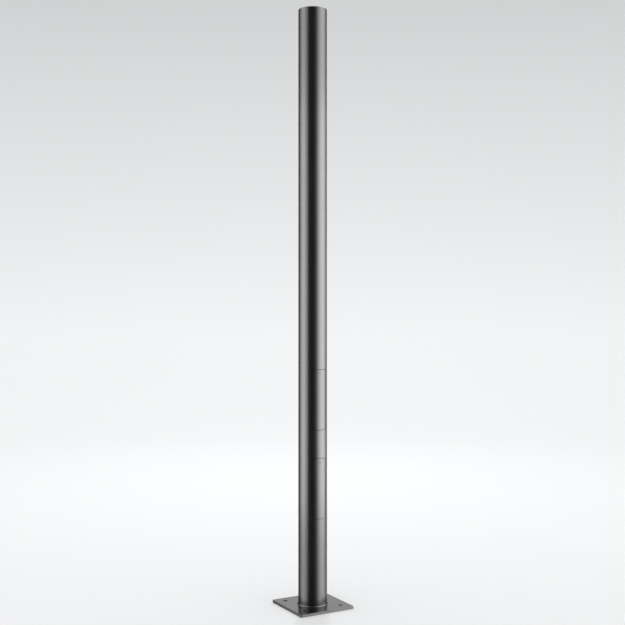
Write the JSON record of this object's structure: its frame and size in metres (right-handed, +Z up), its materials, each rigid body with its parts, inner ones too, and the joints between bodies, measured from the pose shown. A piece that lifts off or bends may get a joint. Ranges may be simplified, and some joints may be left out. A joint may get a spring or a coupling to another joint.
{
  "type": "street lamp post",
  "caption": "Straight round steel street lamp column on a square anchor plate, with curved flush service doors, quarter-turn locks and a cable connection box inside.",
  "frame": {"origin": "centre of the anchor plate's underside, on the column's axis", "axes": "+Z up the column, both doors face -Y, the plate's sides lie along X and Y"},
  "size_m": [0.4, 0.4, 4],
  "materials": {
    "post_paint": "satin anthracite powder coat",
    "galvanised_steel": "hot-dip galvanised, dull spangle",
    "lock_steel": "turned stainless steel",
    "plated_steel": "zinc plated",
    "black_rubber": "moulded, dull",
    "box_plastic": "moulded light grey, fine texture",
    "gland_plastic": "moulded nylon, grey",
    "terminal_plastic": "moulded nylon, cream",
    "carrier_plastic": "moulded thermoset, black",
    "fuse_ceramic": "glazed white ceramic body",
    "brass": "turned"
  },
  "bodies": {
    "post": {"base_plate": "post_paint", "base_weld": "post_paint", "box_base": "box_plastic", "box_clamp_screws": "plated_steel", "box_seal": "black_rubber", "box_slide_nuts": "plated_steel", "earth_hardware": "plated_steel", "earth_stud": "brass", "fuse_holders": "terminal_plastic", "gland_bodies": "gland_plastic", "gland_dome_nuts": "gland_plastic", "gland_lock_nuts": "gland_plastic", "gland_seals": "black_rubber", "lower_door_frame": "post_paint", "lower_lock_strike": "post_paint", "lower_rail": "galvanised_steel", "lower_rail_bolts": "plated_steel", "lower_rail_brackets": "galvanised_steel", "post_tube": "post_paint", "root_weld": "galvanised_steel", "terminal_block": "terminal_plastic", "terminal_screws": "brass", "top_flange": "galvanised_steel", "top_flange_weld": "galvanised_steel", "upper_door_frame": "post_paint", "upper_lock_strike": "post_paint", "upper_rail": "galvanised_steel", "upper_rail_bolts": "plated_steel", "upper_rail_brackets": "galvanised_steel"},
    "box_cover": {"box_cover": "box_plastic", "box_cover_screws": "plated_steel"},
    "fuse_carrier_left": {"fuse_carrier_left": "carrier_plastic", "fuse_link_left": "fuse_ceramic"},
    "fuse_carrier_right": {"fuse_carrier_right": "carrier_plastic", "fuse_link_right": "fuse_ceramic"},
    "lower_door": {"lower_door_panel": "post_paint", "lower_door_gasket": "black_rubber", "lower_door_hook": "galvanised_steel", "lower_lock_housing": "lock_steel", "lower_lock_seal": "black_rubber", "lower_lock_nut": "plated_steel", "lower_door_earth_stud": "plated_steel", "lower_door_earth_nut": "plated_steel"},
    "lower_lock": {"lower_lock_rotor": "lock_steel", "lower_lock_cam": "plated_steel", "lower_lock_screw": "plated_steel"},
    "upper_door": {"upper_door_panel": "post_paint", "upper_door_gasket": "black_rubber", "upper_door_hook": "galvanised_steel", "upper_lock_housing": "lock_steel", "upper_lock_seal": "black_rubber", "upper_lock_nut": "plated_steel", "upper_door_earth_stud": "plated_steel", "upper_door_earth_nut": "plated_steel"},
    "upper_lock": {"upper_lock_rotor": "lock_steel", "upper_lock_cam": "plated_steel", "upper_lock_screw": "plated_steel"}
  },
  "joints": [
    {"name": "lower_door_tilt", "type": "hinge", "parent": "post", "child": "lower_door", "pos_m": [0, -0.09685, 0.6], "axis": [1, 0, 0], "range_deg": [0, 40]},
    {"name": "lower_lock_turn", "type": "hinge", "parent": "lower_door", "child": "lower_lock", "pos_m": [0, -0.0908, 0.975], "axis": [0, 1, 0], "range_deg": [0, 90]},
    {"name": "upper_door_tilt", "type": "hinge", "parent": "post", "child": "upper_door", "pos_m": [0, -0.09685, 1.19], "axis": [1, 0, 0], "range_deg": [0, 40]},
    {"name": "upper_lock_turn", "type": "hinge", "parent": "upper_door", "child": "upper_lock", "pos_m": [0, -0.0908, 1.565], "axis": [0, 1, 0], "range_deg": [0, 90]},
    {"name": "box_cover_pull", "type": "slide", "parent": "post", "child": "box_cover", "axis": [0, -1, 0], "range_m": [0, 0.055]},
    {"name": "fuse_carrier_left_pull", "type": "slide", "parent": "post", "child": "fuse_carrier_left", "axis": [0, -1, 0], "range_m": [0, 0.02]},
    {"name": "fuse_carrier_right_pull", "type": "slide", "parent": "post", "child": "fuse_carrier_right", "axis": [0, -1, 0], "range_m": [0, 0.02]}
  ]
}
